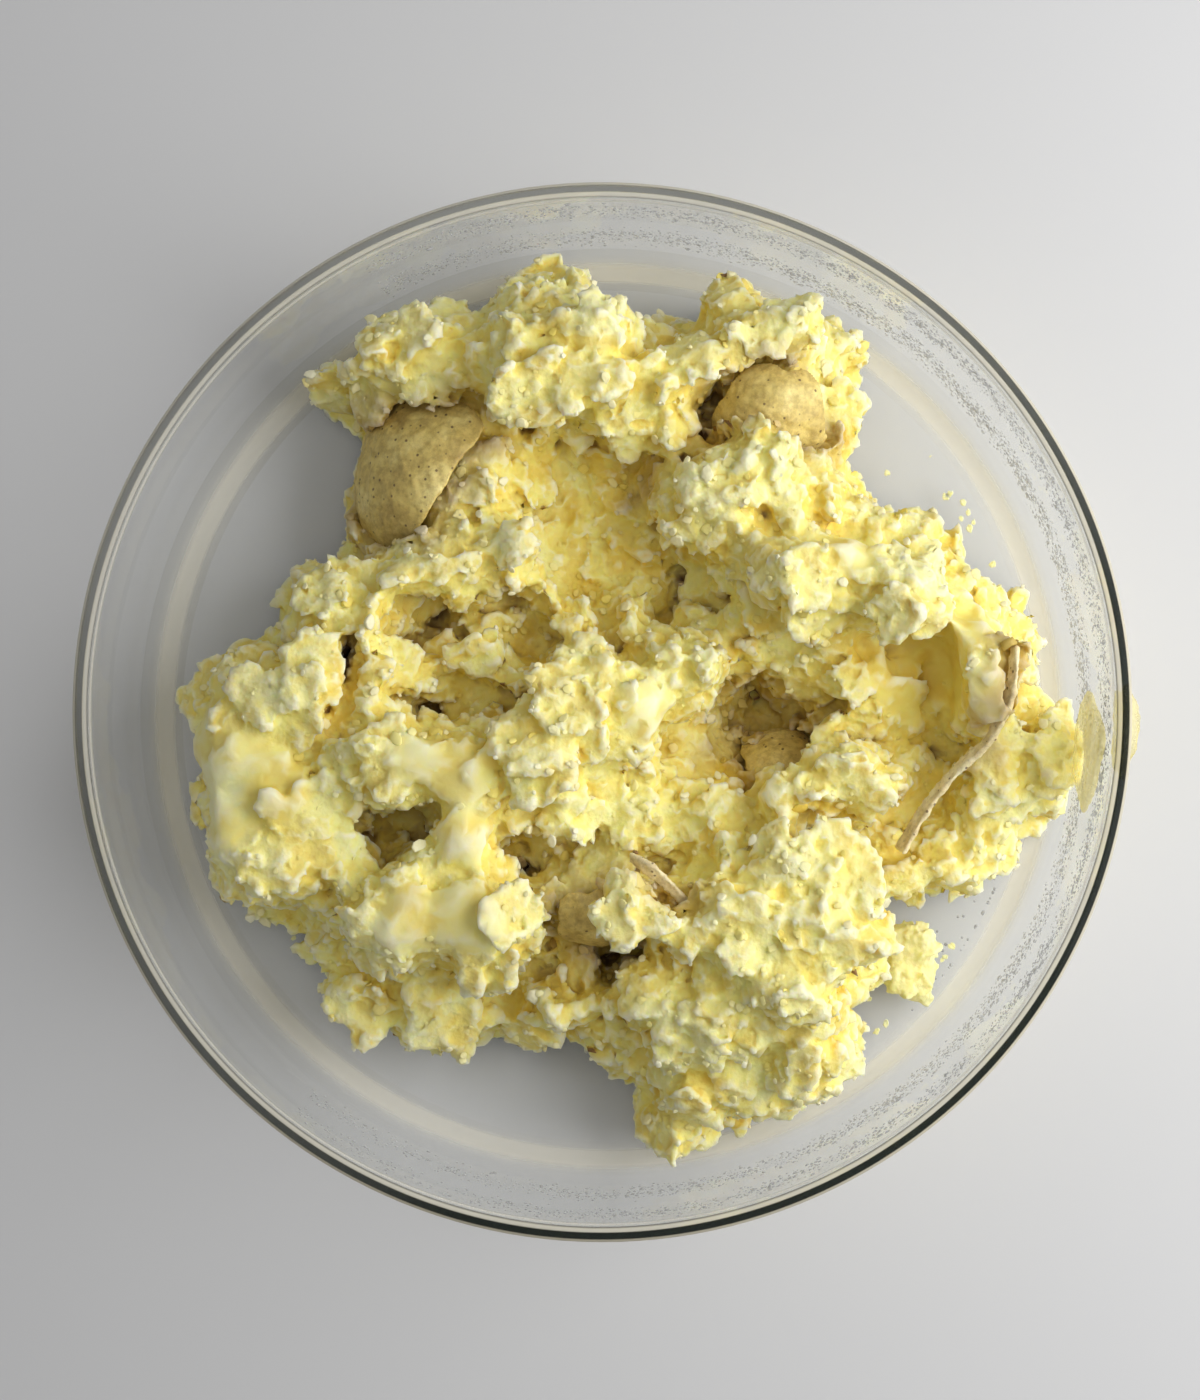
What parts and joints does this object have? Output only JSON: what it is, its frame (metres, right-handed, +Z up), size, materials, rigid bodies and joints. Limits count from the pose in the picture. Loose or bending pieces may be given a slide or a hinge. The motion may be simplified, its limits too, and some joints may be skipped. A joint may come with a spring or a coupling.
{
  "type": "mashed potato in a glass dish",
  "caption": "Roughly crushed boiled potato with bits of its skin, heaped in a round straight-sided dish of clear glass.",
  "frame": {"origin": "middle of the dish's flat underside", "axes": "+Z up out of the dish's mouth, +X towards the side of the dish with potato smeared on the wall"},
  "size_m": [0.2026, 0.2, 0.072],
  "materials": {
    "glass": "clear, polished",
    "potato": "moist, crumbly",
    "skin": "thin, wrinkled, speckled"
  },
  "bodies": {
    "root": {"glass_dish": "glass", "potato_heap": "potato", "loose_lump": "potato", "skin_patch_west": "skin", "skin_patch_east": "skin", "skin_scrap_middle": "skin", "skin_scrap_hollow": "skin", "skin_ribbon_east": "skin", "skin_ribbon_south": "skin", "smear_inside": "potato", "smear_outside": "potato"}
  },
  "joints": []
}
